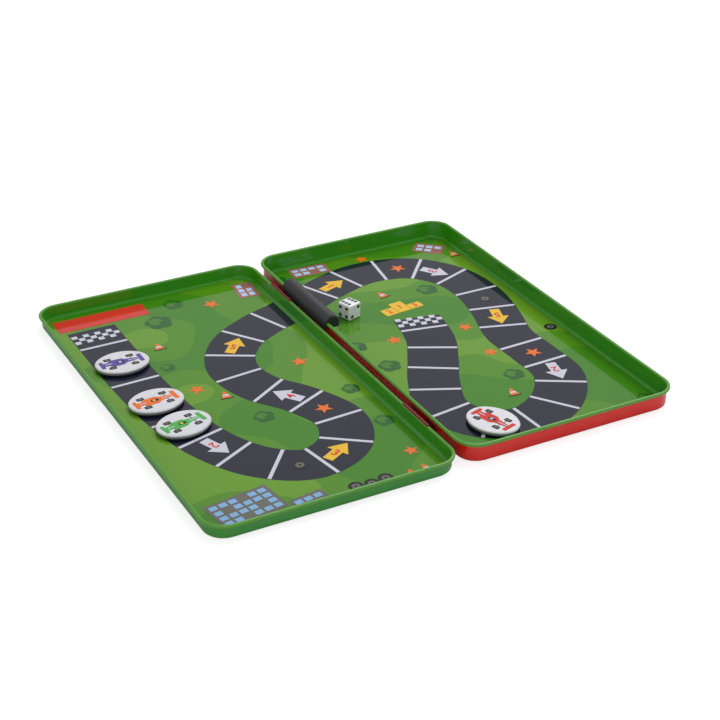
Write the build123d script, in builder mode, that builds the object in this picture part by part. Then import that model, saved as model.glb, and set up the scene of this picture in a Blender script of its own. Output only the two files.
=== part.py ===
from build123d import *
from math import atan2, cos, degrees, radians, sin
import os

os.makedirs("parts", exist_ok=True)

# Magnetic travel racing game in a hinged tin, lying open and flat.
# Millimetres, +Z up, +X from the lid to the base, +Y along the hinge to the back.
# The origin is on the table under the middle of the open game.

# Tin plate and rolled rim
sheet = 0.3
rim_radius = 0.8
rim_turn = 300
rim_facets = 10
corner_radius = 9.0
bottom_radius = 1.6
bottom_facets = 3

# Base tray
base_length = 200.0
base_width = 105.0
base_height = 9.2

# Lid tray, which telescopes over the rolled rim of the base
lid_height = 7.0
lid_side_clearance = 0.4
spine_clearance = 1.0

# Hinges
knuckle_radius = 0.8
knuckle_gap = 0.1
knuckle_count = 3
knuckle_end_gap = 0.15
hinge_length = 20.0
hinge_inset = 38.0
hinge_rise = 0.3
leaf_sheet = 0.3
leaf_reach = 3.4
pin_radius = 0.42
pin_turning_clearance = 0.05
pin_fixed_clearance = 0.02
notch_margin = 0.4
notch_step = 0.1
cut_margin = 1.0

# Slip-on bar over the spine rim of the base
clip_length = 44.0
clip_from_back = 34.0
clip_half_width = 3.85
clip_half_height = 3.3
clip_flank_radius = 2.6
clip_lid_gap = 0.2
clip_rise = 3.05
clip_skirt = 2.9
clip_slot_clearance = 0.1
clip_seat_gap = 0.05
clip_wall = 1.1
clip_rib = 0.9
clip_cells = 4
clip_end_chamfer = 0.6

# Oval playing pieces: magnet below, white body, printed face on top
token_size = (24.4, 19.4)
token_end_radius = 8.2
token_body = 1.3
token_edge = 0.2
magnet_thickness = 1.0
magnet_inset = 0.8
magnet_sides = 36
label_thickness = 0.1
label_inset = 0.5

# Die
die_size = 7.8
die_round = 0.9
pip_radius = 0.78
pip_depth = 0.3
pip_fill = 0.25
pip_spacing = 2.0
pip_sides = 10

# Sizes that follow from the ones above
rim_out = 2 * rim_radius - sheet
lid_length = base_length + 2 * (rim_out + sheet + lid_side_clearance)
lid_width = base_width + 2 * (rim_out + sheet) + lid_side_clearance + spine_clearance
rim_gap = 2 * (knuckle_gap + knuckle_radius) + sheet + spine_clearance - rim_out
seam_x = (lid_width - base_width) / 2
base_spine_x = seam_x + rim_gap / 2
lid_spine_x = seam_x - rim_gap / 2
base_centre_x = base_spine_x + base_width / 2
lid_centre_x = lid_spine_x - lid_width / 2
base_wall_x = base_spine_x + rim_out
lid_wall_x = lid_spine_x - rim_out
hinge_x = lid_wall_x + knuckle_gap + knuckle_radius
hinge_z = lid_height - knuckle_radius + hinge_rise
closed_height = 2 * hinge_z

# Pieces lying in the lid: from its outer long edge, from its back edge, and their turn
lid_tokens = {
    "purple": (21.0, 59.4, 0),
    "orange": (21.6, 97.8, 6),
    "green": (24.6, 120.6, 12),
}

# Piece lying in the base: from its spine edge, from its front edge, and its turn
base_tokens = {
    "red": (27.6, 24.0, -73),
}
die_from_spine = 20.3
die_from_back = 61.6
die_turn = 18

print("lid", round(lid_length, 2), "x", round(lid_width, 2), "gap", round(rim_gap, 2))
print("hinge at x", round(hinge_x, 3), "z", round(hinge_z, 3), "shut height", closed_height)


def oval(length, width, end_radius):
    """Face of an oval of four tangent arcs, long along X."""
    half_length = length / 2
    half_width = width / 2
    square = half_length**2 + half_width**2 - 2 * half_length * end_radius
    side_radius = square / (2 * (half_width - end_radius))
    end_x = half_length - end_radius
    side_y = side_radius - half_width
    lean = degrees(atan2(side_y, end_x))
    with BuildLine() as outline:
        CenterArc((end_x, 0), end_radius, -lean, 2 * lean)
        CenterArc((0, -side_y), side_radius, lean, 180 - 2 * lean)
        CenterArc((-end_x, 0), end_radius, 180 - lean, 2 * lean)
        CenterArc((0, side_y), side_radius, 180 + lean, 180 - 2 * lean)
    return make_face(outline.edges(), mode=Mode.PRIVATE)


def curve_points(centre, radius, start, turn, facets):
    """Corners of an arc drawn as straight facets, with its start and turn in degrees."""
    steps = [radians(start + turn * step / facets) for step in range(facets + 1)]
    return [(centre[0] + radius * cos(step), centre[1] + radius * sin(step)) for step in steps]


def rounded_tray(centre_x, length, width, height):
    """Drawn tray with a rounded bottom edge and a rim rolled outward and down."""
    wall_length = length - 2 * rim_out
    wall_width = width - 2 * rim_out
    rim_z = height - rim_radius
    roll_out = rim_radius - sheet
    roll = (0, 0)
    bend = (roll_out + bottom_radius, bottom_radius - rim_z)
    floor_width = wall_width - 2 * bottom_radius
    floor_length = wall_length - 2 * bottom_radius
    with BuildPart() as tray:
        with BuildSketch(Plane((centre_x, 0, 0))):
            RectangleRounded(floor_width, floor_length, corner_radius - bottom_radius)
        extrude(amount=sheet)
        # Bottom bend, wall and roll are one section, which runs round the whole tray.
        half_x = wall_width / 2 + roll_out
        half_y = wall_length / 2 + roll_out
        turn = corner_radius + roll_out
        with BuildLine(Plane((centre_x, 0, rim_z))) as rim_path:
            side = Line((half_x, 0), (half_x, half_y - turn))
            for run in (2 * (half_x - turn), 2 * (half_y - turn), 2 * (half_x - turn), half_y - turn):
                corner = JernArc(side @ 1, side % 1, turn, 90)
                side = Line(corner @ 1, corner @ 1 + (corner % 1) * run)
        section = Plane((centre_x + half_x, 0, rim_z), x_dir=(-1, 0, 0), z_dir=(0, 1, 0))
        with BuildSketch(section):
            with BuildLine():
                Polyline(
                    *curve_points(bend, bottom_radius - sheet, 270, -90, bottom_facets),
                    *curve_points(roll, rim_radius, 0, rim_turn, rim_facets),
                    *curve_points(roll, roll_out, rim_turn, -rim_turn, rim_facets // 2),
                    *curve_points(bend, bottom_radius, 180, 90, bottom_facets),
                    close=True,
                )
            make_face()
        sweep(path=rim_path.line)
    return tray


def hinge_places():
    """Middle of each hinge along Y, back one first."""
    reach = lid_length / 2 - hinge_inset
    return {"back": reach, "front": -reach}


def knuckle_spans(middle):
    """Start and end along Y of each knuckle of one hinge, from the front end."""
    pitch = hinge_length / knuckle_count
    first = middle - hinge_length / 2
    trim = knuckle_end_gap / 2
    return [
        (first + number * pitch + trim, first + (number + 1) * pitch - trim)
        for number in range(knuckle_count)
    ]


def section_at(y):
    """Upright plane across the hinge line, X along +X and Y along +Z, facing the front."""
    return Plane((0, y, 0), x_dir=(1, 0, 0), z_dir=(0, -1, 0))


# Base tray
base_tray = rounded_tray(base_centre_x, base_length, base_width, base_height)

# Lid tray, whose rolled rim is cut away where the hinge knuckles sit
notch_length = hinge_length + 2 * notch_margin
notch_low = hinge_z - knuckle_radius - notch_margin
notch_top = hinge_z + notch_step
lid_shell = rounded_tray(lid_centre_x, lid_length, lid_width, lid_height)
with BuildPart() as lid_tray:
    add(lid_shell.part)
    for middle in hinge_places().values():
        with BuildSketch(section_at(middle + notch_length / 2)):
            with BuildLine():
                Polyline(
                    (lid_wall_x, notch_low),
                    (lid_wall_x + 2 * rim_out, notch_low),
                    (lid_wall_x + 2 * rim_out, lid_height + cut_margin),
                    (lid_wall_x - 2 * rim_out, lid_height + cut_margin),
                    (lid_wall_x - 2 * rim_out, notch_top),
                    (lid_wall_x, notch_top),
                    close=True,
                )
            make_face()
        extrude(amount=notch_length, mode=Mode.SUBTRACT)

# Hinges: a leaf with the outer knuckles on the lid, a tongue with the middle one on the base
hinge_pieces = {}
for place, middle in hinge_places().items():
    spans = knuckle_spans(middle)
    low_z = hinge_z - leaf_reach

    with BuildPart() as lid_leaf:
        plate_top = hinge_z - knuckle_radius - 2 * pin_turning_clearance
        with BuildSketch(section_at(middle + hinge_length / 2)):
            with Locations((lid_wall_x, low_z)):
                Rectangle(leaf_sheet, plate_top - low_z, align=(Align.MIN, Align.MIN))
        extrude(amount=hinge_length)
        for start, end in spans[0::2]:
            with BuildSketch(section_at(end)):
                with Locations((lid_wall_x, plate_top - leaf_sheet)):
                    Rectangle(leaf_sheet, hinge_z - plate_top + leaf_sheet, align=(Align.MIN, Align.MIN))
                with Locations((hinge_x, hinge_z)):
                    Circle(knuckle_radius)
                    Circle(pin_radius + pin_fixed_clearance, mode=Mode.SUBTRACT)
            extrude(amount=end - start)
    hinge_pieces["lid_hinge_leaf_" + place] = lid_leaf

    with BuildPart() as base_leaf:
        strap_low = hinge_z - knuckle_radius
        leaf_face = base_wall_x - leaf_sheet
        with BuildSketch(section_at(middle + hinge_length / 2)):
            with Locations((leaf_face, low_z)):
                Rectangle(leaf_sheet, strap_low - low_z, align=(Align.MIN, Align.MIN))
        extrude(amount=hinge_length)
        for start, end in spans[1::2]:
            with BuildSketch(section_at(end)):
                with Locations((hinge_x, strap_low)):
                    Rectangle(base_wall_x - hinge_x, leaf_sheet, align=(Align.MIN, Align.MIN))
                with Locations((hinge_x, hinge_z)):
                    Circle(knuckle_radius)
                    Circle(pin_radius + pin_turning_clearance, mode=Mode.SUBTRACT)
            extrude(amount=end - start)
        bend = base_leaf.edges().filter_by(Axis.Y)
        fillet(bend.sort_by_distance((base_wall_x, middle, strap_low + leaf_sheet))[0], leaf_sheet)
    hinge_pieces["base_hinge_leaf_" + place] = base_leaf

    with BuildPart() as pin:
        with BuildSketch(section_at(middle + hinge_length / 2)):
            with Locations((hinge_x, hinge_z)):
                Circle(pin_radius)
        extrude(amount=hinge_length)
    hinge_pieces["hinge_pin_" + place] = pin

# Slip-on bar: an oval moulding with a slot for the rolled rim and ribbed hollows below
clip_middle_y = base_length / 2 - clip_from_back - clip_length / 2
shut_wall_x = 2 * hinge_x - (lid_wall_x - sheet)
clip_x = shut_wall_x + clip_lid_gap + clip_half_width
clip_z = base_height + clip_rise - clip_half_height
clip_foot_z = base_height - clip_skirt
slot_left = base_spine_x - clip_slot_clearance
slot_right = base_spine_x + 2 * rim_radius + clip_slot_clearance
with BuildPart() as rim_clip:
    with BuildSketch(section_at(clip_middle_y + clip_length / 2)):
        with Locations((clip_x, clip_z)):
            add(oval(2 * clip_half_width, 2 * clip_half_height, clip_flank_radius))
            Rectangle(
                2 * clip_half_width,
                clip_half_height,
                align=(Align.CENTER, Align.MAX),
                mode=Mode.SUBTRACT,
            )
            Rectangle(2 * clip_half_width, clip_z - clip_foot_z, align=(Align.CENTER, Align.MAX))
    extrude(amount=clip_length)
    end_edges = rim_clip.faces().filter_by(Axis.Y).edges()
    chamfer(end_edges.filter_by(lambda edge: edge.center().Z > clip_foot_z + 0.01), clip_end_chamfer)
    with BuildSketch(section_at(clip_middle_y + clip_length / 2 + cut_margin)):
        with Locations(((slot_left + slot_right) / 2, base_height + clip_seat_gap)):
            Rectangle(slot_right - slot_left, 2 * clip_half_height, align=(Align.CENTER, Align.MAX))
    extrude(amount=clip_length + 2 * cut_margin, mode=Mode.SUBTRACT)
    cell = (clip_length - 2 * clip_wall - (clip_cells - 1) * clip_rib) / clip_cells
    first_cell = clip_middle_y + clip_length / 2 - clip_wall
    cell_half_width = clip_half_width - clip_wall
    cell_half_height = clip_half_height - clip_wall
    for number in range(clip_cells):
        with BuildSketch(section_at(first_cell - number * (cell + clip_rib))):
            with Locations((clip_x, clip_z)):
                add(oval(2 * cell_half_width, 2 * cell_half_height, clip_flank_radius - clip_wall))
                with Locations((0, -clip_half_height)):
                    Rectangle(2 * cell_half_width, clip_half_height, align=(Align.CENTER, Align.MIN))
            with Locations((slot_right + clip_wall, clip_z)):
                Rectangle(
                    2 * clip_half_width,
                    4 * clip_half_height,
                    align=(Align.MAX, Align.CENTER),
                    mode=Mode.SUBTRACT,
                )
        extrude(amount=cell, mode=Mode.SUBTRACT)

# Playing pieces
def token(middle_x, middle_y, turn):
    """Magnet, white body and printed face of one oval piece, as three parts."""
    foot = Plane((middle_x, middle_y, sheet)).rotated((0, 0, turn))
    magnet_face = oval(*[size - 2 * magnet_inset for size in token_size], token_end_radius - magnet_inset)
    outline = magnet_face.face().outer_wire()
    with BuildPart() as magnet:
        with BuildSketch(foot):
            with BuildLine():
                Polyline(*[outline @ (side / magnet_sides) for side in range(magnet_sides)], close=True)
            make_face()
        extrude(amount=magnet_thickness)
    with BuildPart() as body:
        with BuildSketch(foot.offset(magnet_thickness)):
            add(oval(*token_size, token_end_radius))
        extrude(amount=token_body)
        chamfer(body.faces().sort_by(Axis.Z)[-1].edges(), token_edge)
    with BuildPart() as label:
        with BuildSketch(foot.offset(magnet_thickness + token_body)):
            add(oval(*[size - 2 * label_inset for size in token_size], token_end_radius - label_inset))
        extrude(amount=label_thickness)
    return {"magnet": magnet, "body": body, "label": label}


token_places = {}
for colour, (from_edge, from_back, turn) in lid_tokens.items():
    token_places[colour] = (lid_spine_x - lid_width + from_edge, lid_length / 2 - from_back, turn)
for colour, (from_spine, from_front, turn) in base_tokens.items():
    token_places[colour] = (base_spine_x + from_spine, from_front - base_length / 2, turn)
token_pieces = {}
for colour, place in token_places.items():
    for layer, piece in token(*place).items():
        token_pieces["token_" + layer + "_" + colour] = piece

# Die: rounded cube with flat-bottomed pips, filled with black
def pip_grid(count):
    """Pip centres of one face in pip spacings."""
    corners = [(-1, -1), (1, 1), (-1, 1), (1, -1)]
    middle = [(0, 0)] if count % 2 else []
    pairs = corners[: count - count % 2]
    sides = [(-1, 0), (1, 0)] if count == 6 else []
    return [(x * pip_spacing, y * pip_spacing) for x, y in middle + pairs[:4] + sides]


half = die_size / 2
die_x = base_spine_x + die_from_spine
die_y = base_length / 2 - die_from_back
die_centre = Plane((die_x, die_y, sheet + half)).rotated((0, 0, die_turn))
die_faces = {
    6: Plane((0, 0, half), x_dir=(1, 0, 0), z_dir=(0, 0, 1)),
    1: Plane((0, 0, -half), x_dir=(1, 0, 0), z_dir=(0, 0, -1)),
    4: Plane((-half, 0, 0), x_dir=(0, 1, 0), z_dir=(-1, 0, 0)),
    3: Plane((half, 0, 0), x_dir=(0, 1, 0), z_dir=(1, 0, 0)),
    2: Plane((0, -half, 0), x_dir=(1, 0, 0), z_dir=(0, -1, 0)),
    5: Plane((0, half, 0), x_dir=(1, 0, 0), z_dir=(0, 1, 0)),
}

with BuildPart(die_centre) as die:
    Box(die_size, die_size, die_size)
    fillet(die.edges(), die_round)
    for count, side in die_faces.items():
        with BuildSketch(Plane(die_centre.location * side.location)):
            with Locations(*pip_grid(count)):
                RegularPolygon(pip_radius, pip_sides)
        extrude(amount=-pip_depth, mode=Mode.SUBTRACT)
with BuildPart() as die_pips:
    for count, side in die_faces.items():
        pip_floor = Plane(die_centre.location * side.location).offset(-pip_depth)
        with BuildSketch(pip_floor):
            with Locations(*pip_grid(count)):
                RegularPolygon(pip_radius, pip_sides)
        extrude(amount=pip_fill)

pieces = {
    "base_tray": base_tray,
    "lid_tray": lid_tray,
    **hinge_pieces,
    "rim_clip": rim_clip,
    **token_pieces,
    "die_body": die,
    "die_pips": die_pips,
}
for name, piece in pieces.items():
    piece.part.label = name
    export_step(piece.part, "parts/" + name + ".step")
print("pieces", len(pieces))
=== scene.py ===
"""Magnetic travel racing game in an opened tin: its materials and print, light and camera."""

import math

import bmesh
import bpy
from mathutils import Matrix, Vector


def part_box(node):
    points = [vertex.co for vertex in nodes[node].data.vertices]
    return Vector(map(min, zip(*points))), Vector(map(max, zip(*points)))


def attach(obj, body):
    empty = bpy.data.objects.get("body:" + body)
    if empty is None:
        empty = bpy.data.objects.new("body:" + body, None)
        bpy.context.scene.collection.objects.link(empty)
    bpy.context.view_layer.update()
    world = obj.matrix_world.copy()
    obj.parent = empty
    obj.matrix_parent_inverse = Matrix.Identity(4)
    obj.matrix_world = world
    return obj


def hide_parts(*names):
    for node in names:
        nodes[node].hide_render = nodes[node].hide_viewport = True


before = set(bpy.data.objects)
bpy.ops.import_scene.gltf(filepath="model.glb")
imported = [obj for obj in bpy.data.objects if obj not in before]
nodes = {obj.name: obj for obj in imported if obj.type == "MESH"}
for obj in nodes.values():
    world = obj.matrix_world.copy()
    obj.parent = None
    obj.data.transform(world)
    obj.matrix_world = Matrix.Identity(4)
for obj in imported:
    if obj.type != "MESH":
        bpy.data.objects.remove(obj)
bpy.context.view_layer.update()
scene = bpy.context.scene
MM = 0.001

# ---------------------------------------------------------------- sizes of the trays
SHEET = 0.3 * MM  # tin plate
RIM_R = 0.8 * MM  # rolled rim
RIM_OUT = 2 * RIM_R - SHEET  # how far the roll stands out from the wall
CORNER = 9.0 * MM  # corners of the wall's outer face, seen from above
BOTTOM_R = 1.6 * MM  # round at the foot of the wall
PRINT_INSET = BOTTOM_R + 0.05 * MM  # from the wall's outer face to the edge of the flat print


class Tray:
    """Middle, wall outline and height of one tray, read from its CAD node."""

    def __init__(self, node):
        low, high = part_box(node)
        self.cx = (low.x + high.x) / 2
        self.half_x = (high.x - low.x) / 2 - RIM_OUT
        self.half_y = (high.y - low.y) / 2 - RIM_OUT
        self.height = high.z - low.z


base = Tray("base_tray")
lid = Tray("lid_tray")


def add(name, data):
    """New object in the scene."""
    made = bpy.data.objects.new(name, data)
    scene.collection.objects.link(made)
    return made


# ---------------------------------------------------------------- material helpers
GRAIN_DEPTH = 0.01 * MM  # of the bump in a material


def srgb(r, g, b):
    """Linear colour of an 8-bit display colour."""

    def one(v):
        v = v / 255
        return v / 12.92 if v <= 0.04045 else ((v + 0.055) / 1.055) ** 2.4

    return (one(r), one(g), one(b), 1.0)


def scaled(colour, factor):
    """The same colour, lighter or darker."""
    return tuple(min(1.0, c * factor) for c in colour[:3]) + (1.0,)


def paint(name, mat):
    """Gives a CAD node its one material."""
    slots = nodes[name].data.materials
    slots.clear()
    slots.append(mat)


class Shader:
    """A node material with one Principled shader and short calls for the usual nodes."""

    SOCKETS = {
        "color": "Base Color",
        "rough": "Roughness",
        "metal": "Metallic",
        "coat": "Coat Weight",
    }

    def __init__(self, name):
        self.mat = bpy.data.materials.new(name)
        self.mat.use_nodes = True
        self.tree = self.mat.node_tree
        self.bsdf = self.tree.nodes["Principled BSDF"]
        self.coord = self.node("TexCoord").outputs["Object"]

    def node(self, kind, **settings):
        made = self.tree.nodes.new("ShaderNode" + kind)
        for key, value in settings.items():
            setattr(made, key, value)
        return made

    def put(self, socket, value):
        """Links another node's output to the socket, or sets the socket to a value."""
        if isinstance(value, bpy.types.NodeSocket):
            self.tree.links.new(value, socket)
        else:
            socket.default_value = value

    def set(self, **values):
        for key, value in values.items():
            self.put(self.bsdf.inputs[self.SOCKETS[key]], value)

    def axes(self):
        """X, Y and Z of the shaded point, in metres."""
        made = self.node("SeparateXYZ")
        self.put(made.inputs[0], self.coord)
        return tuple(made.outputs)

    def math(self, operation, a, b=0.0, c=0.0):
        made = self.node("Math", operation=operation)
        for socket, value in zip(made.inputs, (a, b, c)):
            self.put(socket, value)
        return made.outputs[0]

    def hypot(self, a, b):
        """Root of the sum of both squares."""
        total = self.math("ADD", self.math("MULTIPLY", a, a), self.math("MULTIPLY", b, b))
        return self.math("SQRT", total)

    def mix(self, factor, a, b, blend="MIX"):
        made = self.node("Mix", data_type="RGBA", blend_type=blend)
        self.put(made.inputs["Factor"], factor)
        self.put(made.inputs[6], a)
        self.put(made.inputs[7], b)
        return made.outputs[2]

    def noise(self, scale, detail, rough=0.5, stretch=(1, 1, 1), offset=(0, 0, 0)):
        place = self.node("Mapping")
        place.inputs["Location"].default_value = offset
        place.inputs["Scale"].default_value = stretch
        self.put(place.inputs["Vector"], self.coord)
        made = self.node("TexNoise")
        made.inputs["Scale"].default_value = scale
        made.inputs["Detail"].default_value = detail
        made.inputs["Roughness"].default_value = rough
        self.put(made.inputs["Vector"], place.outputs[0])
        return made.outputs["Fac"]

    def ramp(self, value, stops, constant=False):
        """Colour for a value between 0 and 1, from (place, colour) stops."""
        made = self.node("ValToRGB")
        ramp = made.color_ramp
        if constant:
            ramp.interpolation = "CONSTANT"
        while len(ramp.elements) < len(stops):
            ramp.elements.new(0.5)
        for element, (place, colour) in zip(ramp.elements, stops):
            element.position = place
            element.color = colour
        self.put(made.inputs["Fac"], value)
        return made.outputs["Color"]

    def spread(self, value, low, high, from_low=0.0, from_high=1.0):
        """The value moved from one range to another, and kept inside it."""
        made = self.node("MapRange")
        self.put(made.inputs["Value"], value)
        made.inputs["From Min"].default_value = from_low
        made.inputs["From Max"].default_value = from_high
        made.inputs["To Min"].default_value = low
        made.inputs["To Max"].default_value = high
        return made.outputs[0]

    def bump(self, height, strength, distance=GRAIN_DEPTH):
        made = self.node("Bump")
        made.inputs["Strength"].default_value = strength
        made.inputs["Distance"].default_value = distance
        self.put(made.inputs["Height"], height)
        self.put(self.bsdf.inputs["Normal"], made.outputs[0])


# ---------------------------------------------------------------- printed tin
GREEN_IN = srgb(52, 146, 20)
GREEN_OUT = srgb(50, 133, 46)
# lighter and greyer than GREEN_IN: a painted highlight along the rolled rim
GREEN_RIM_PAINTED_HIGHLIGHT = srgb(76, 142, 38)
RED_OUT = srgb(207, 27, 16)

OUTSIDE_TOP = 1.9 * RIM_R  # the outside's colour ends this far below the top of the rim
RIM_FOOT = 2.1 * RIM_R  # the rim's lighter green, a painted highlight, starts this far below the top of the rim
RIM_INSIDE = 0.35 * RIM_R  # and this far inside the wall's outer face
TIN_ROUGH = (0.09, 0.16)  # least and most roughness of the varnish
RIM_ROUGHER = 0.24  # added over the rim
MOTTLE = (0.92, 1.08)  # darkest and lightest tone of the print


def printed_tin(name, tray, outside):
    """Varnished tin plate: one colour outside, another inside, and over the rolled rim a
    lighter green as painted highlight.
    """
    s = Shader(name)
    x, y, z = s.axes()

    # Distance d from the wall's outer face, a rounded rectangle, and less than 0 inside it.
    dx = s.math("ABSOLUTE", s.math("SUBTRACT", x, tray.cx))
    dx = s.math("SUBTRACT", dx, tray.half_x - CORNER)
    dy = s.math("SUBTRACT", s.math("ABSOLUTE", y), tray.half_y - CORNER)
    length = s.hypot(s.math("MAXIMUM", dx, 0.0), s.math("MAXIMUM", dy, 0.0))
    inner = s.math("MINIMUM", s.math("MAXIMUM", dx, dy), 0.0)
    d = s.math("SUBTRACT", s.math("ADD", length, inner), CORNER)

    # The outside is what lies beyond the middle of the sheet, round the foot of the wall.
    qx = s.math("MAXIMUM", s.math("ADD", d, BOTTOM_R), 0.0)
    qz = s.math("MAXIMUM", s.math("SUBTRACT", BOTTOM_R, z), 0.0)
    beyond = s.math("GREATER_THAN", s.hypot(qx, qz), BOTTOM_R - SHEET / 2)
    below = s.math("LESS_THAN", z, tray.height - OUTSIDE_TOP)
    is_out = s.math("MULTIPLY", beyond, below)
    near_rim = s.math("GREATER_THAN", z, tray.height - RIM_FOOT)
    outer_half = s.math("GREATER_THAN", d, -RIM_INSIDE)
    is_rim = s.math("MULTIPLY", near_rim, outer_half)

    mottle = s.node("CombineColor")
    level = s.spread(s.noise(260, 3), *MOTTLE)
    for socket in mottle.inputs:
        s.put(socket, level)

    def toned(colour):
        return s.mix(1.0, colour, mottle.outputs[0], "MULTIPLY")

    # the rim gets a lighter green, a painted highlight
    colour = s.mix(is_rim, toned(GREEN_IN), toned(GREEN_RIM_PAINTED_HIGHLIGHT))
    gloss = s.spread(s.noise(900, 3), *TIN_ROUGH)
    s.set(
        color=s.mix(is_out, colour, toned(outside)),
        rough=s.math("MULTIPLY_ADD", is_rim, RIM_ROUGHER, gloss),
    )
    s.bump(s.noise(500, 2), 0.10)
    return s.mat


paint("base_tray", printed_tin("base_tin_print", base, RED_OUT))
paint("lid_tray", printed_tin("lid_tin_print", lid, GREEN_OUT))

# ---------------------------------------------------------------- inks
GROUND_DARK = srgb(58, 123, 12)
GROUND_MID = srgb(75, 132, 16)
GROUND_LIGHT = srgb(96, 145, 28)


def ink(name, colour, scale=120, rough=0.08):
    """Varnished print: a solid colour with the faint unevenness of offset ink."""
    s = Shader(name)
    s.set(
        color=s.mix(s.noise(scale, 3), scaled(colour, 0.93), scaled(colour, 1.07)),
        rough=s.spread(s.noise(700, 2), rough - 0.03, rough + 0.03),
    )
    return s.mat


def ground_ink(name, offset, share):
    """Grass: hard-edged patches of three greens, as flat print.

    The offset moves the patches, and the noise is dark green below the share.
    """
    s = Shader(name)
    field = s.noise(17, 0.6, 0.3, offset=(offset, 0.13 * offset, 0))
    stops = [(0.0, GROUND_DARK), (share, GROUND_MID), (share + 0.12, GROUND_LIGHT)]
    s.set(
        color=s.ramp(field, stops, constant=True),
        rough=s.spread(s.noise(700, 2), 0.05, 0.11),
    )
    return s.mat


INKS = {
    "ground_lid": ground_ink("print_ground_lid", 0.31, 0.43),
    "ground_base": ground_ink("print_ground_base", 0.74, 0.46),
    "asphalt": ink("print_asphalt", srgb(20, 24, 42), scale=400),
}
for key, colour in {
    "white": (198, 198, 212),
    "red": (202, 46, 38),
    "orange": (226, 106, 24),
    "yellow": (226, 180, 34),
    "blue": (124, 170, 214),
    "grey": (100, 98, 92),
    "black": (22, 22, 26),
    "leaf": (30, 92, 22),
    "leaf_light": (60, 120, 26),
    "purple": (84, 66, 150),
    "car_green": (70, 168, 74),
    "sky": (176, 196, 224),
    "rose": (150, 96, 92),
}.items():
    INKS[key] = ink("print_" + key, srgb(*colour))

# ---------------------------------------------------------------- flat print
BOARD_STEP = 0.025 * MM  # from one layer of the boards' ink to the next
CAR_STEP = 0.02 * MM  # the same on the playing pieces
WELD = 1e7  # steps in a metre: corners that round to the same step are one vertex
GROUND, ASPHALT, LINES, MOTIF, DETAIL, TOP = 1, 2, 3, 4, 5, 6  # the boards' layers
CROWN, CROWN_LIGHT, CROWN_SHADE = 2.2, 3, 3.5  # those of a tree, which never meets the road


class Print:
    """Collects flat coloured shapes for one body and makes one mesh for each ink.

    The shapes are in millimetres. With a tray, they end at the edges of its flat floor.
    """

    def __init__(self, prefix, body, slot, origin, floor, turn=0.0, step=BOARD_STEP, tray=None):
        self.prefix = prefix
        self.body = body
        self.slot = slot
        self.middle = origin[0] / MM
        self.floor = floor
        self.step = step
        self.place = Matrix.Translation((*origin, 0)) @ Matrix.Rotation(turn, 4, "Z")
        self.shapes = {}
        self.edges = []
        if tray:
            half_x, half_y = tray.half_x - PRINT_INSET, tray.half_y - PRINT_INSET
            for side in (-1, 1):
                self.edges.append(((tray.cx + side * half_x, 0, 0), (side, 0, 0)))
                self.edges.append(((0, side * half_y, 0), (0, side, 0)))

    def shape(self, colour, points, layer):
        """One shape with the given outline."""
        self.faces(colour, points, [range(len(points))], layer)

    def faces(self, colour, points, loops, layer):
        """Faces that share their points."""
        z = self.floor + self.step * layer
        world = [self.place @ Vector((x * MM, y * MM, z)) for x, y in points]
        self.shapes.setdefault(colour, []).append([[world[i] for i in loop] for loop in loops])

    def fill(self, bm, group):
        """Makes the faces of one group, with their normals up and their corners welded."""
        seen = {}
        for loop in group:
            verts = []
            for p in loop:
                key = tuple(round(c * WELD) for c in p)
                if key not in seen:
                    seen[key] = bm.verts.new(p)
                if seen[key] not in verts:
                    verts.append(seen[key])
            if len(verts) > 2:
                face = bm.faces.new(verts)
                face.normal_update()
                if face.normal.z < 0:
                    face.normal_flip()

    def make(self):
        """One mesh for each ink, cut off at the tray's edges."""
        for colour, groups in self.shapes.items():
            bm = bmesh.new()
            for group in groups:
                self.fill(bm, group)
            for point, normal in self.edges:
                bmesh.ops.bisect_plane(
                    bm,
                    geom=bm.verts[:] + bm.edges[:] + bm.faces[:],
                    dist=1 / WELD,
                    plane_co=point,
                    plane_no=normal,
                    clear_outer=True,
                )
            mesh = bpy.data.meshes.new(f"{self.prefix}_{colour}")
            bm.to_mesh(mesh)
            bm.free()
            mesh.materials.append(INKS[colour])
            made = add(mesh.name, mesh)
            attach(made, self.body)


def circle(cx, cy, radius, sides, start=0.0, sweep=360.0):
    """Points round a circle, or along an arc with both its ends."""
    count = sides if sweep >= 360 else sides + 1
    turn = [math.radians(start + sweep * i / sides) for i in range(count)]
    return [(cx + radius * math.cos(a), cy + radius * math.sin(a)) for a in turn]


def moved(points, x, y, turn=0.0, scale=1.0):
    """The points scaled, turned by degrees and then moved by x and y."""
    a = math.radians(turn)
    c, s = math.cos(a) * scale, math.sin(a) * scale
    return [(x + px * c - py * s, y + px * s + py * c) for px, py in points]


def spot(px, py, x, y, turn):
    """One point turned by degrees and then moved by x and y."""
    return moved([(px, py)], x, y, turn)[0]


def rectangle(w, h, r=0.0, sides=6):
    """Outline round the origin, with round corners where r is given."""
    if r <= 0:
        return [(-w / 2, -h / 2), (w / 2, -h / 2), (w / 2, h / 2), (-w / 2, h / 2)]
    out = []
    for sx, sy, a in ((1, -1, -90), (1, 1, 0), (-1, 1, 90), (-1, -1, 180)):
        out += circle(sx * (w / 2 - r), sy * (h / 2 - r), r, sides, a, 90)
    return out


def grid(columns, rows, wide, deep):
    """Column, row and middle of each place in a grid round the origin."""
    for i in range(columns):
        for j in range(rows):
            yield i, j, (i - (columns - 1) / 2) * wide, (j - (rows - 1) / 2) * deep


# ---------------------------------------------------------------- road
ROAD = 11.4  # half its width
CELL = 19.0  # length of one cell along the centre line
FIRST = 17.0  # from the start of the centre line to the first line across
LINE = 1.55  # width of the lines across


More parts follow.
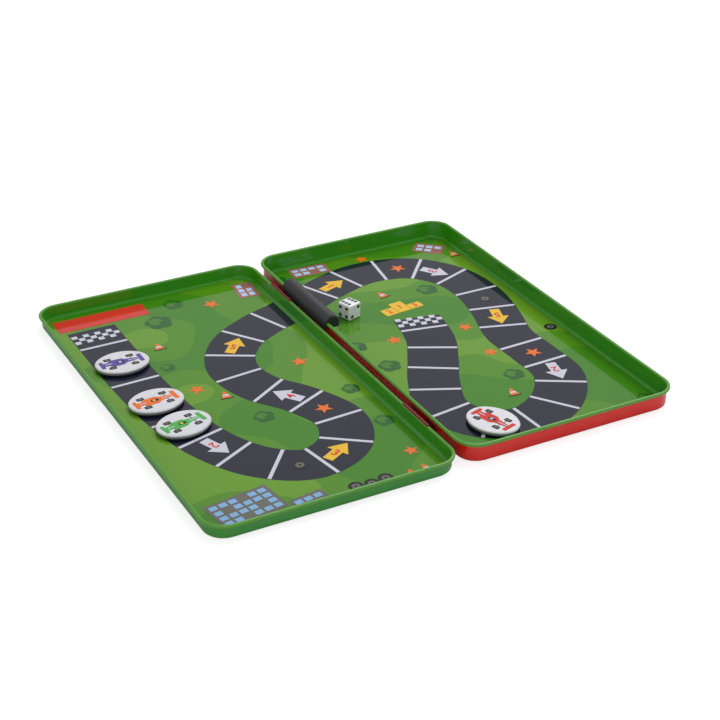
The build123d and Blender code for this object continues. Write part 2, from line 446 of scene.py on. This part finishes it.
def course(points, step=1.6, pieces=30):
    """Smooth centre line through the points at even steps: list of (x, y, direction)."""
    ends = [Vector(p) for p in points]
    ends = [2 * ends[0] - ends[1], *ends, 2 * ends[-1] - ends[-2]]
    fine = []
    for a, b, c, d in zip(ends, ends[1:], ends[2:], ends[3:]):
        for k in range(pieces):
            t = k / pieces
            curve = 2 * b + (c - a) * t + (2 * a - 5 * b + 4 * c - d) * t**2
            fine.append(0.5 * (curve + (3 * b - a - 3 * c + d) * t**3))
    fine.append(ends[-2])
    even, left = [fine[0]], step
    for p, q in zip(fine, fine[1:]):
        run = (q - p).length
        while run >= left > 0:
            p = p + (q - p) * (left / run)
            run -= left
            even.append(p)
            left = step
        left -= run
    line = []
    for k, p in enumerate(even):
        ahead = even[min(k + 1, len(even) - 1)] - even[max(k - 1, 0)]
        line.append((p.x, p.y, math.atan2(ahead.y, ahead.x)))
    return line


# From the start on the lid to the finish on the base.
TRACK = course([
    (-87.5, 82), (-87.5, 60), (-87.5, 38), (-86.6, 14), (-84.5, -10), (-79.5, -34), (-68, -56),
    (-50, -68), (-31, -61), (-23, -42), (-30, -21), (-42, -2), (-45, 19), (-35, 38), (-17, 50),
    (4, 58), (26, 69), (50, 76), (73, 71), (87, 54), (90, 32), (86, 10), (80, -11), (80, -32),
    (79, -53), (66, -71), (46, -80), (27, -73), (20, -54), (27, -34), (37, -16), (46, 2),
    (50.9, 24),
])


def stations(line, first, gap):
    """Places along a centre line at equal distances."""
    out, walked, goal = [], 0.0, first
    for (x0, y0, h0), (x1, y1, h1) in zip(line, line[1:]):
        run = math.hypot(x1 - x0, y1 - y0)
        while walked + run >= goal and run > 0:
            t = (goal - walked) / run
            turn = (h1 - h0 + math.pi) % (2 * math.pi) - math.pi
            out.append((x0 + (x1 - x0) * t, y0 + (y1 - y0) * t, h0 + turn * t))
            goal += gap
        walked += run
    return out


def road(sheet):
    """Asphalt and the lines between its cells; what runs over the sheet's edge is cut off."""
    line = [(x - sheet.middle, y, head) for x, y, head in TRACK]
    points, loops = [], []
    for x, y, head in line:
        for side in (ROAD, -ROAD):
            points.append((x - math.sin(head) * side, y + math.cos(head) * side))
    for k in range(len(line) - 1):
        loops.append((2 * k, 2 * k + 1, 2 * k + 3, 2 * k + 2))
    sheet.faces("asphalt", points, loops, ASPHALT)
    across = rectangle(LINE, 2 * ROAD - 0.5)
    for x, y, head in stations(line, FIRST, CELL):
        sheet.shape("white", moved(across, x, y, math.degrees(head)), LINES)


def cell(sheet, number):
    """Middle of one road cell on the sheet: x, y and direction in degrees."""
    x, y, head = stations(TRACK, FIRST + CELL * (number + 0.5), math.inf)[0]
    return x - sheet.middle, y, math.degrees(head)


# ---------------------------------------------------------------- motifs
def tree(sheet, x, y, size):
    """Crown of five lobes, each a little higher than the last, with light and shade."""
    for k in range(5):
        px, py = spot(0.52 * size, 0, x, y, 72 * k + 20)
        sheet.shape("leaf", circle(px, py, 0.55 * size, 20), CROWN + 0.1 * k)
    light = circle(x - 0.15 * size, y + 0.2 * size, 0.55 * size, 20)
    shade = circle(x + 0.2 * size, y - 0.1 * size, 0.22 * size, 14)
    sheet.shape("leaf_light", light, CROWN_LIGHT)
    sheet.shape("leaf", shade, CROWN_SHADE)


def star(sheet, x, y, size, turn):
    points = []
    for k in range(10):
        r = size if k % 2 == 0 else size * 0.42
        a = math.radians(90 + 36 * k)
        points.append((r * math.cos(a), r * math.sin(a)))
    sheet.shape("orange", moved(points, x, y, turn), MOTIF)


def cone(sheet, x, y, turn):
    """Traffic cone from the side: body, band and foot."""
    for colour, points, layer in (
        ("orange", [(-2.2, -2.6), (2.2, -2.6), (0.5, 3), (-0.5, 3)], MOTIF),
        ("white", [(-1.55, -0.9), (1.55, -0.9), (1.15, 0.5), (-1.15, 0.5)], DETAIL),
        ("black", [(-3, -3.2), (3, -3.2), (3, -2.5), (-3, -2.5)], DETAIL),
    ):
        sheet.shape(colour, moved(points, x, y, turn), layer)


def tyre(sheet, x, y, size):
    sheet.shape("black", circle(x, y, size, 28), MOTIF)
    sheet.shape("grey", circle(x, y, size * 0.55, 22), DETAIL)
    sheet.shape("black", circle(x, y, size * 0.2, 12), TOP)


def stand(sheet, x, y, turn, columns, rows, roof="grey", pane="blue"):
    """Spectator stand from above: a roof with rows of light panels, a few left out."""
    wide, deep, eaves = 4.4, 4.0, 2
    outline = rectangle(columns * wide + eaves, rows * deep + eaves, 0.8)
    panel = rectangle(3.3, 2.7)
    sheet.shape(roof, moved(outline, x, y, turn), MOTIF)
    for i, j, cx, cy in grid(columns, rows, wide, deep):
        if (i * 2 + j) % 5 != 4:
            sheet.shape(pane, moved(panel, *spot(cx, cy, x, y, turn), turn), DETAIL)


def chequer(sheet, x, y, turn):
    """Squares of a start or finish, across the road, with a hair between their corners."""
    columns, rows, side = 8, 3, 2.75
    square = rectangle(side * 0.98, side * 0.98)
    for i, j, cx, cy in grid(columns, rows, side, side):
        if (i + j) % 2 == 0:
            sheet.shape("white", moved(square, *spot(cx, cy, x, y, turn), turn), MOTIF)


def digit(sheet, text, x, y, turn, size):
    """Plain number, as flat print."""
    curve = bpy.data.curves.new("digit", "FONT")
    curve.body = text
    curve.size = 1.0
    curve.offset = 0.018  # makes it bolder
    curve.align_x = "CENTER"
    curve.align_y = "CENTER"
    curve.resolution_u = 3
    holder = add("digit", curve)
    bpy.context.view_layer.update()
    mesh = bpy.data.meshes.new_from_object(holder)
    points = moved([(v.co.x * size, v.co.y * size) for v in mesh.vertices], x, y, turn)
    sheet.faces("red", points, [tuple(p.vertices) for p in mesh.polygons], DETAIL)
    bpy.data.objects.remove(holder)
    bpy.data.curves.remove(curve)
    bpy.data.meshes.remove(mesh)


def signpost(sheet, number, text, colour):
    """Arrow with a plain number on one road cell."""
    x, y, turn = cell(sheet, number)
    arrow = [(-8, -2.6), (0, -2.6), (0, -5.6), (8, 0), (0, 5.6), (0, 2.6), (-8, 2.6)]
    sheet.shape(colour, moved(arrow, x, y, turn, 0.92), MOTIF)
    digit(sheet, text, *spot(-1.6, 0, x, y, turn), turn - 90, 6.2)


def podium(sheet, x, y, turn):
    """Winners' steps with plain numbers."""
    for dx, height, text in ((-7, 6.5, "2"), (0, 10, "1"), (7, 5, "3")):
        px, py = spot(dx, height / 2, x, y, turn)
        sheet.shape("yellow", moved(rectangle(6.8, height, 0.4), px, py, turn), MOTIF)
        digit(sheet, text, px, py, turn, 5)


def scatter(sheet, motif, *places):
    """The same motif at several places."""
    for place in places:
        motif(sheet, *place)


# ---------------------------------------------------------------- race board
def board(body, slot, tray):
    """Print on the flat part of a tray's floor, with the grass and the road."""
    sheet = Print("board_" + body, body, slot, (tray.cx, 0), SHEET, tray=tray)
    w = 2 * (tray.half_x - PRINT_INSET) / MM
    h = 2 * (tray.half_y - PRINT_INSET) / MM
    floor = rectangle(w, h, (CORNER - PRINT_INSET) / MM, 10)
    sheet.shape("ground_" + body, floor, GROUND)
    road(sheet)
    return sheet


lid_print = board("lid", "lid_tin", lid)
chequer(lid_print, -87.5 - lid_print.middle, 74.5, 0)
banner = rectangle(44, 11.5, 0.8)
lid_print.shape("red", moved(banner, -79.5 - lid_print.middle, 90), MOTIF)
scatter(lid_print, tree, (-4, 74, 6.2), (9, 88, 4.6), (46, -52, 4.2))
scatter(lid_print, tree, (-16.5, 32, 3.2), (3, -26, 4.4), (46, -22, 4.0))
scatter(lid_print, star, (-13, 8, 4.0, 10), (37, 10, 4.2, -12))
scatter(lid_print, star, (25, 80, 4.4, 20), (44, -78, 3.6, 0))
stand(lid_print, -32, -84, 8, 6, 4)
stand(lid_print, -8, -92, 8, 3, 2)
stand(lid_print, 45.5, 86, 84, 3, 2, "rose", "sky")
scatter(lid_print, tyre, (12, -91, 3.2), (18.6, -92, 3.2), (25.2, -91, 3.2))
scatter(lid_print, cone, (36, -93, 0), (43, -92, 8), (-13, 52, 0), (-4, -2, -6))
scatter(lid_print, signpost, (5, "2", "white"), (8, "3", "yellow"))
scatter(lid_print, signpost, (11, "4", "white"), (14, "5", "yellow"))
star(lid_print, *cell(lid_print, 10)[:2], 4.2, 15)
tyre(lid_print, *cell(lid_print, 7)[:2], 3.4)
lid_print.make()

base_print = board("base", "base_tin", base)
chequer(base_print, 50.2 - base_print.middle, 19.3, -12.5)
podium(base_print, -6, 31, 6)
scatter(base_print, tree, (-45, 88, 4.2), (-38.5, -12, 5.0), (-43, 10, 4.4))
scatter(base_print, tree, (14, 46, 5.0), (44.5, -88, 4.0), (6, -44, 4.6))
scatter(base_print, star, (10, 4, 4.0, 12), (-25, 8, 4.2, -10))
scatter(base_print, star, (7.5, -22, 3.8, 30), (2, 90.5, 3.6, 0))
stand(base_print, -27, 91, -3, 4, 2, "rose", "sky")
stand(base_print, 38, 86, -42, 3, 2, "rose", "sky")
scatter(base_print, cone, (-46.5, -36, 0), (-8, 51, 10), (-3, -57, -8), (46, 75, 0))
scatter(base_print, tyre, (-45, -92, 3.0), (-38.6, -93, 3.0), (45, -14, 3.0))
scatter(base_print, signpost, (18, "1", "yellow"), (21, "3", "white"))
scatter(base_print, signpost, (24, "5", "yellow"), (27, "2", "white"))
star(base_print, *cell(base_print, 20)[:2], 4.2, 15)
tyre(base_print, *cell(base_print, 23)[:2], 3.4)
star(base_print, *cell(base_print, 26)[:2], 4.2, 15)
base_print.make()


# ---------------------------------------------------------------- playing pieces
def plastic(name, colour, rough, coat=0.0, grain=900, depth=GRAIN_DEPTH):
    """Moulded plastic or film with a fine grain."""
    s = Shader(name)
    s.set(
        color=s.mix(s.noise(300, 2), scaled(colour, 0.96), scaled(colour, 1.03)),
        rough=s.spread(s.noise(1200, 2), rough - 0.05, rough + 0.06),
        coat=coat,
    )
    s.bump(s.noise(grain, 3), 0.2, depth)
    return s.mat


def board_with_painted_side_shade(name):
    """White board whose cut side goes grey towards the bottom, as painted shade under the
    piece.
    """
    s = Shader(name)
    low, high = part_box("token_body_purple")
    height = s.spread(s.axes()[2], 0.0, 1.0, low.z, high.z)
    white, grey = srgb(206, 206, 208), srgb(126, 127, 131)
    # grey on the lower part of the cut side: painted shade
    side_shade = s.ramp(height, [(0.5, grey), (0.78, white)])
    grain = s.noise(500, 3)
    s.set(
        color=s.mix(s.spread(grain, 0.0, 0.12), side_shade, grey),
        rough=s.spread(grain, 0.35, 0.46),
    )
    s.bump(grain, 0.2)
    return s.mat


def racer(sheet, colour, glass):
    """Open-wheel racing car seen from above, nose along +X; its layers go from 1 to 5."""
    axles = (-5.6, 4.8)
    for x in axles:
        for y in (-3.9, 3.9):
            sheet.shape("black", moved(rectangle(3.4, 2.3, 0.6), x, y), 1)
            sheet.shape("grey", moved(rectangle(1.9, 1.0, 0.3), x, y), 2)
    for x in axles:
        sheet.shape("grey", moved(rectangle(0.5, 7.4), x, 0), 1)
    for x, w, h in ((8.6, 2.0, 7.0), (-9.2, 1.8, 6.2)):
        sheet.shape(colour, moved(rectangle(w, h, 0.4), x, 0), 2)
    hull = [(9.4, -0.6), (9.4, 0.6), (5.5, 1.1), (1.8, 1.7), (0.4, 2.9), (-4.6, 2.9)]
    hull += [(-6.0, 1.5), (-9.6, 1.2)]
    hull += [(x, -y) for x, y in hull[::-1] if y > 0.7]
    sheet.shape(colour, hull, 3)
    sheet.shape("black", moved(rectangle(3.6, 2.0, 1.0), -0.6, 0), 4)
    sheet.shape(glass, circle(-0.9, 0, 0.75, 16), 5)
    for x, w in ((5.2, 5.0), (-6.2, 3.2)):
        sheet.shape("white", moved(rectangle(w, 0.5), x, 0), 4)


token_white = board_with_painted_side_shade("token_board_painted_side_shade")
token_face = plastic("token_face_film", srgb(210, 210, 217), 0.22)
magnet_sheet = plastic("magnet_sheet_black", srgb(30, 30, 32), 0.7)
for colour, degrees, car, glass in (
    ("purple", 0, "purple", "sky"),
    ("orange", 6, "orange", "yellow"),
    ("green", 12, "car_green", "yellow"),
    ("red", -73, "red", "sky"),
):
    paint("token_body_" + colour, token_white)
    paint("token_label_" + colour, token_face)
    paint("token_magnet_" + colour, magnet_sheet)
    low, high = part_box("token_label_" + colour)
    middle = ((low.x + high.x) / 2, (low.y + high.y) / 2)
    turn = math.radians(degrees)
    body, slot = "piece_" + colour, "print_" + colour
    face = Print("car_" + colour, body, slot, middle, high.z, turn, CAR_STEP)
    racer(face, car, glass)
    face.make()

# ---------------------------------------------------------------- die, bar and hinges
DIE_TURN = 18  # degrees from the tin's sides
PIP_SPACING = 2.0 * MM
PIP_SIDES = 20
PIP_RINGS = ((0.93, 0.012), (0.8, 0.008), (0.69, -0.1), (0.35, -0.17))  # radius, rise in mm

pip_black = plastic("die_pip_black", srgb(20, 20, 24), 0.4)
paint("die_body", plastic("die_white", srgb(228, 229, 232), 0.25, 0.3))
paint("die_pips", pip_black)
paint("rim_clip", plastic("bar_black", srgb(28, 28, 33), 0.48, 0.0, 600, 2 * GRAIN_DEPTH))


def dished_pips():
    """Painted pips, dished and lapping a little over the edge of each dimple."""
    low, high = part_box("die_body")
    middle, half = (low + high) / 2, (high.z - low.z) / 2
    turn = Matrix.Rotation(math.radians(DIE_TURN), 3, "Z")

    # Axis, side and two distances of each pip, from the corners of the CAD pips.
    cad = nodes["die_pips"]
    spots = set()
    for vertex in cad.data.vertices:
        local = turn.transposed() @ (cad.matrix_world @ vertex.co - middle)
        axis = max(range(3), key=lambda k: abs(local[k]))
        across = [round(local[k] / PIP_SPACING) * PIP_SPACING for k in range(3) if k != axis]
        spots.add((axis, 1 if local[axis] > 0 else -1, *across))

    points, loops = [], []
    for axis, side, u, v in sorted(spots):
        start = len(points)
        for radius, rise in PIP_RINGS:
            for px, py in circle(u / MM, v / MM, radius, PIP_SIDES):
                place = [px * MM, py * MM]
                place.insert(axis, side * (half + rise * MM))
                points.append(middle + turn @ Vector(place))
        inmost = start + (len(PIP_RINGS) - 1) * PIP_SIDES
        for ring in range(start, inmost, PIP_SIDES):
            for k in range(PIP_SIDES):
                a, b = ring + k, ring + (k + 1) % PIP_SIDES
                loops.append((a, b, b + PIP_SIDES, a + PIP_SIDES))
        loops.append(tuple(inmost + k for k in range(PIP_SIDES)))

    mesh = bpy.data.meshes.new("die_pip_paint")
    mesh.from_pydata(points, [], loops)
    bm = bmesh.new()
    bm.from_mesh(mesh)
    for face in bm.faces:
        face.normal_update()
        if face.normal.dot(face.calc_center_median() - middle) < 0:
            face.normal_flip()
        face.smooth = True
    bm.to_mesh(mesh)
    bm.free()
    mesh.materials.append(pip_black)
    made = add("die_pip_paint", mesh)
    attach(made, "die")
    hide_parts("die_pips")


dished_pips()


def steel(name):
    """Drawn steel with streaks."""
    s = Shader(name)
    streak = s.noise(500, 3, 0.6, (1, 8, 1))
    s.set(
        color=s.mix(streak, srgb(150, 150, 148), srgb(196, 196, 192)),
        metal=1.0,
        rough=s.spread(streak, 0.25, 0.42),
    )
    s.bump(streak, 0.15)
    return s.mat


hinge_steel = steel("hinge_tinned_steel")
# the leaves: the base's red darkened to about a quarter, painted shade of the gap between the
# trays
hinge_red_painted_shade = ink("hinge_print_red", scaled(RED_OUT, 0.26), scale=600, rough=0.3)
for name in nodes:
    if "hinge_pin" in name:
        paint(name, hinge_steel)
    elif "hinge_leaf" in name:
        paint(name, hinge_red_painted_shade)

# ---------------------------------------------------------------- floor, light, camera
FLOOR_HALF = 3.0
FLOOR_DROP = 0.05 * MM  # keeps the floor off the trays' undersides
FLOOR_LIT = 0.82  # the floor's grey in the light that it throws back
FLOOR_SEEN = 0.42  # and its grey in the picture, where it also glows
FLOOR_GLOW = 0.74
WORLD_LEVEL = 0.55
WORLD_MORE = (("Is Glossy Ray", 0.06), ("Is Camera Ray", 0.45))  # added to that level

AZIMUTH, ELEVATION, ROLL = -28.089, 28.738, 0.136  # the camera's, in degrees
LENS, SENSOR = 83.43, 36
AIM = Vector((2.3, 0, 0))  # a point of the part, in millimetres
AIM_SEEN = Vector((-5.680, -1.060, -739.639))  # the same point in the camera's own axes


def stage_floor():
    """White floor that fades into the background in the picture and still takes a shadow."""
    h = FLOOR_HALF
    mesh = bpy.data.meshes.new("floor")
    mesh.from_pydata([(-h, -h, 0), (h, -h, 0), (h, h, 0), (-h, h, 0)], [], [(0, 1, 2, 3)])
    floor = add("floor", mesh)
    floor.location.z = -FLOOR_DROP
    mat = bpy.data.materials.new("floor_white")
    mat.use_nodes = True
    tree = mat.node_tree
    tree.nodes.clear()
    out = tree.nodes.new("ShaderNodeOutputMaterial")
    plain = tree.nodes.new("ShaderNodeBsdfDiffuse")
    plain.inputs["Color"].default_value = (FLOOR_LIT, FLOOR_LIT, FLOOR_LIT, 1)
    seen = tree.nodes.new("ShaderNodeBsdfDiffuse")
    seen.inputs["Color"].default_value = (FLOOR_SEEN, FLOOR_SEEN, FLOOR_SEEN, 1)
    glow = tree.nodes.new("ShaderNodeEmission")
    glow.inputs["Strength"].default_value = FLOOR_GLOW
    both = tree.nodes.new("ShaderNodeAddShader")
    path = tree.nodes.new("ShaderNodeLightPath")
    pick = tree.nodes.new("ShaderNodeMixShader")
    for source, target in (
        (seen.outputs[0], both.inputs[0]),
        (glow.outputs[0], both.inputs[1]),
        (path.outputs["Is Camera Ray"], pick.inputs[0]),
        (plain.outputs[0], pick.inputs[1]),
        (both.outputs[0], pick.inputs[2]),
        (pick.outputs[0], out.inputs[0]),
    ):
        tree.links.new(source, target)
    mesh.materials.append(mat)


def set_world():
    """White surroundings, brighter in reflections and brightest as the background."""
    world = bpy.data.worlds.new("studio")
    scene.world = world
    world.use_nodes = True
    tree = world.node_tree
    sky = tree.nodes["Background"]
    sky.inputs["Color"].default_value = (1.0, 1.0, 1.0, 1)
    path = tree.nodes.new("ShaderNodeLightPath")
    level = None
    for outlet, more in WORLD_MORE:
        step = tree.nodes.new("ShaderNodeMath")
        step.operation = "MULTIPLY_ADD"
        tree.links.new(path.outputs[outlet], step.inputs[0])
        step.inputs[1].default_value = more
        step.inputs[2].default_value = WORLD_LEVEL
        if level:
            tree.links.new(level, step.inputs[2])
        level = step.outputs[0]
    tree.links.new(level, sky.inputs["Strength"])


def lamp(name, place, size, power):
    """Round lamp that points at the origin."""
    light = bpy.data.lights.new(name, "AREA")
    light.shape = "DISK"
    light.size = size
    light.energy = power
    made = add(name, light)
    made.location = place
    made.rotation_euler = (-Vector(place)).to_track_quat("-Z", "Y").to_euler()


def set_camera():
    """Camera at the photograph's angle."""
    azimuth, elevation, roll = (math.radians(a) for a in (AZIMUTH, ELEVATION, ROLL))
    flat = math.cos(elevation)
    back = Vector((math.sin(azimuth) * flat, -math.cos(azimuth) * flat, math.sin(elevation)))
    right = Vector((0, 0, 1)).cross(back).normalized()
    up = back.cross(right)
    r = right * math.cos(roll) + up * math.sin(roll)
    u = up * math.cos(roll) - right * math.sin(roll)
    place = (-(r * AIM_SEEN.x + u * AIM_SEEN.y + back * AIM_SEEN.z) + AIM) * MM
    data = bpy.data.cameras.new("camera")
    data.sensor_width = SENSOR
    data.lens = LENS
    data.clip_start = 0.05
    made = add("camera", data)
    made.matrix_world = Matrix.Translation(place) @ Matrix((r, u, back)).transposed().to_4x4()
    scene.camera = made


stage_floor()
set_world()
lamp("key", (0.6, 0.4, 1.0), 1.0, 10.0)
lamp("fill", (-0.5, -0.9, 0.7), 1.2, 3.0)
set_camera()
bpy.context.scene.view_settings.view_transform = "Standard"
